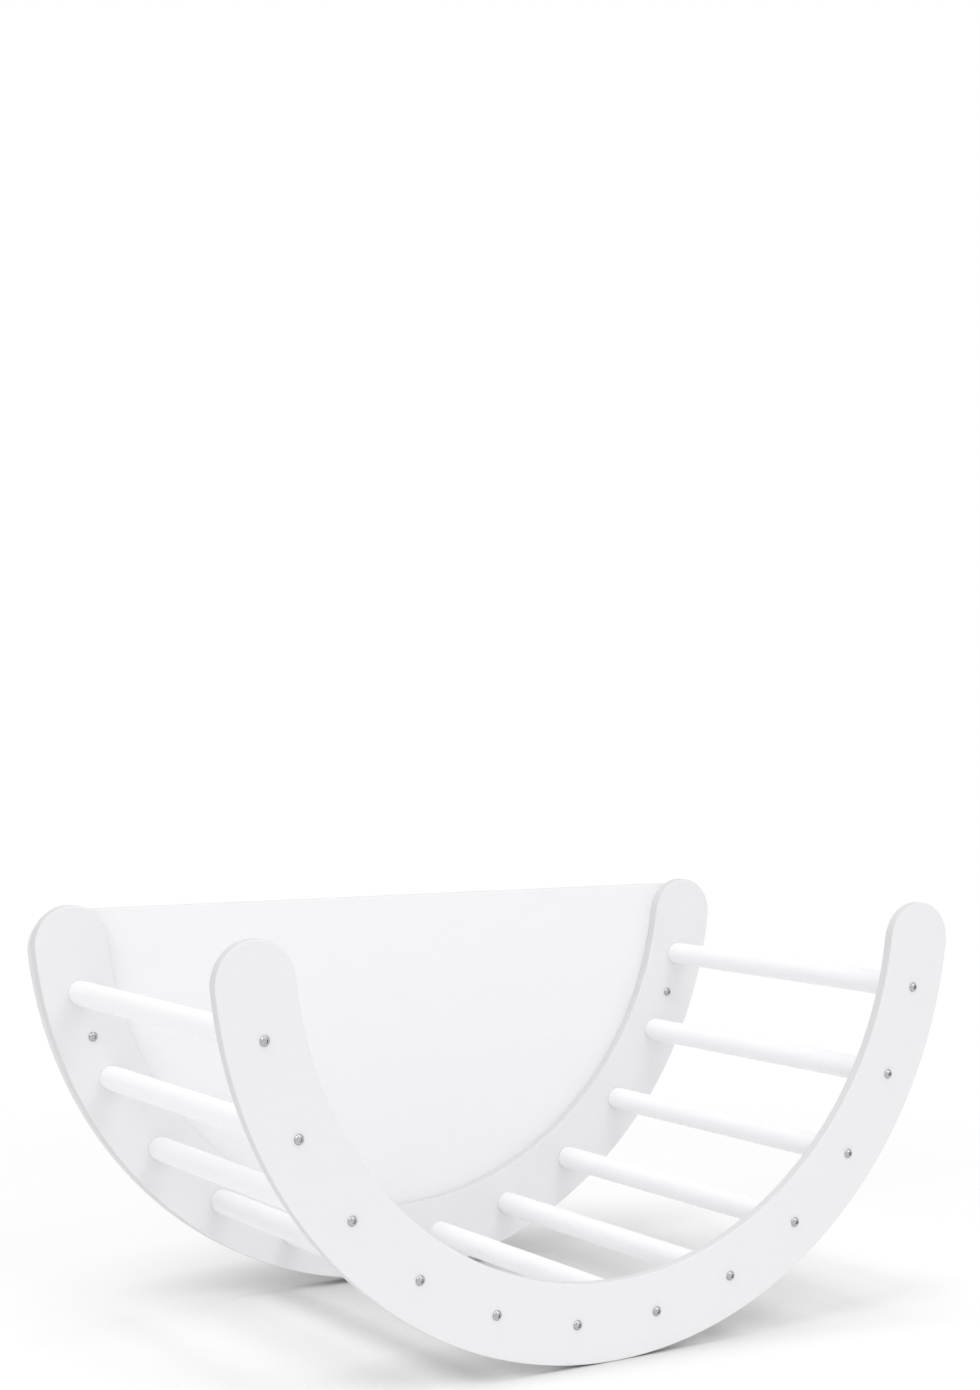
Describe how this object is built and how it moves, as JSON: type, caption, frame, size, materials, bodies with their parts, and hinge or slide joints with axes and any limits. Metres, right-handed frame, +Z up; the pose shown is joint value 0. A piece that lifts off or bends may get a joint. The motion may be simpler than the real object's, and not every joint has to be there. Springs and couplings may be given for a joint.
{
  "type": "wooden rocker arch",
  "caption": "Open-topped rocker for a child: curved arch boards joined by round rungs, with a half-moon board closing the back.",
  "frame": {"origin": "on the floor, in the middle of the object's length and depth, under the point where the curved edges touch the floor", "axes": "+X along the rocker from tip to tip, +Y from the open front to the half-moon board at the back, +Z up"},
  "size_m": [0.9548, 0.4694, 0.4761],
  "materials": {
    "painted_board": "plywood arch board under satin white paint",
    "painted_panel": "plywood half-moon board under satin white paint, a shade lighter than the arch boards",
    "painted_rung": "turned hardwood dowel under satin white paint",
    "bolt_steel": "nickel-plated steel, satin",
    "insert_steel": "zinc-plated steel"
  },
  "bodies": {
    "root": {"front_arch": "painted_board", "rear_arch": "painted_board", "half_moon_board": "painted_panel", "rung_01": "painted_rung", "rung_02": "painted_rung", "rung_03": "painted_rung", "rung_04": "painted_rung", "rung_05": "painted_rung", "rung_06": "painted_rung", "rung_07": "painted_rung", "rung_08": "painted_rung", "rung_09": "painted_rung", "rung_10": "painted_rung", "rung_11": "painted_rung", "rung_12": "painted_rung", "front_rung_bolts": "bolt_steel", "rear_rung_bolts": "bolt_steel", "panel_bolts": "bolt_steel", "front_rung_inserts": "insert_steel", "rear_rung_inserts": "insert_steel", "panel_inserts": "insert_steel"}
  },
  "joints": []
}
